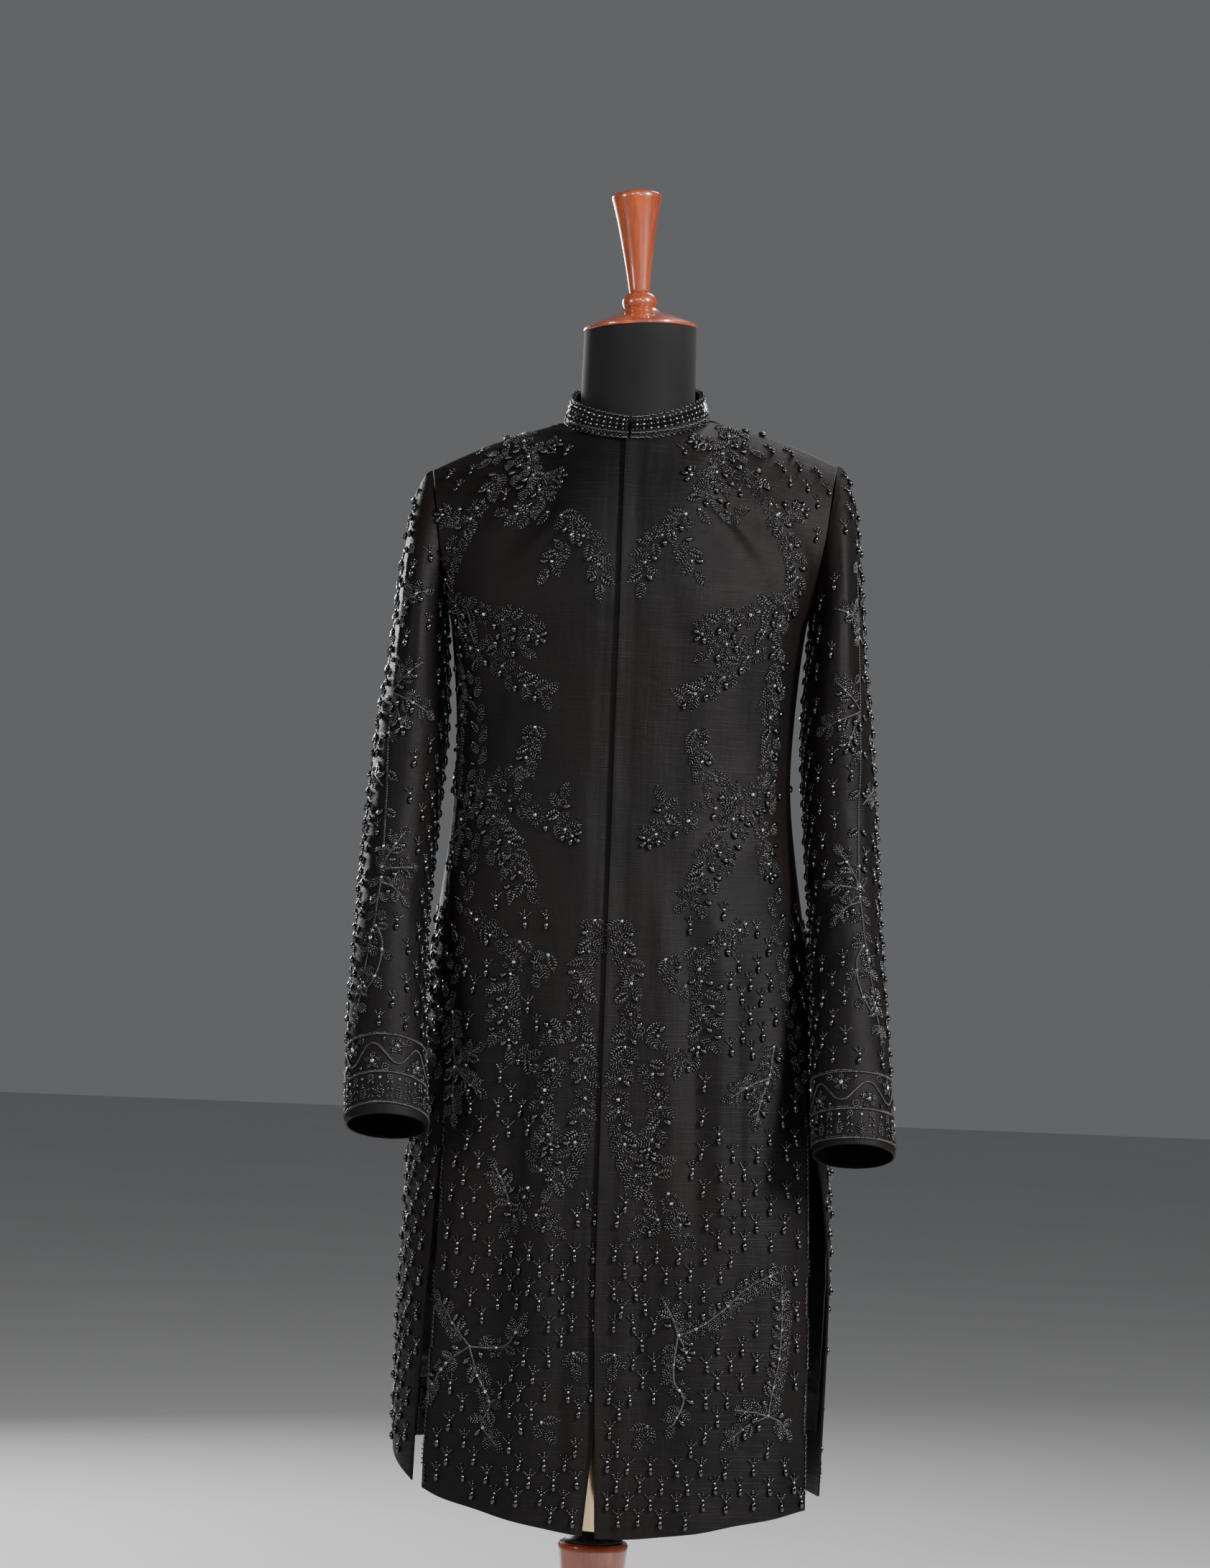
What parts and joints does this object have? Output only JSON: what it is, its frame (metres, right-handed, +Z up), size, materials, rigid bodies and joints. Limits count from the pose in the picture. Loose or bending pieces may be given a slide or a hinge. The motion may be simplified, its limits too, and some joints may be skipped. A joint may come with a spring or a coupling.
{
  "type": "sherwani coat on dress form",
  "caption": "Knee-length black raw silk sherwani coat, densely beaded, with band collar, hidden front closure and side vents, worn by a limbless dress form on a turned wooden tripod.",
  "frame": {"origin": "on the floor under the middle of the whole part's footprint", "axes": "+Z up, -Y the way the coat faces, +X towards the wearer's left"},
  "size_m": [0.5444, 0.457, 1.7069],
  "materials": {
    "coat_silk": "slubby black raw silk, dull, with a faint brown cast",
    "lining_satin": "black satin, glossy",
    "form_jersey": "fine matt black jersey, stretched",
    "lacquered_wood": "turned wood in glossy red-brown lacquer",
    "polished_brass": "polished brass",
    "black_rubber": "matt black",
    "glass_beads": "small jet glass beads, drops and crystals, sewn on by hand"
  },
  "bodies": {
    "root": {"front_left": "coat_silk", "front_right": "coat_silk", "back_left": "coat_silk", "back_right": "coat_silk", "sleeve_top_left": "coat_silk", "sleeve_under_left": "coat_silk", "sleeve_top_right": "coat_silk", "sleeve_under_right": "coat_silk", "collar": "coat_silk", "lining_left": "lining_satin", "lining_right": "lining_satin", "form_body": "form_jersey", "neck_cap": "lacquered_wood", "cap_handle": "lacquered_wood", "hub": "lacquered_wood", "leg_1": "lacquered_wood", "leg_2": "lacquered_wood", "leg_3": "lacquered_wood", "pole": "polished_brass", "hub_screw": "polished_brass", "pole_ring": "black_rubber"}
  },
  "joints": []
}
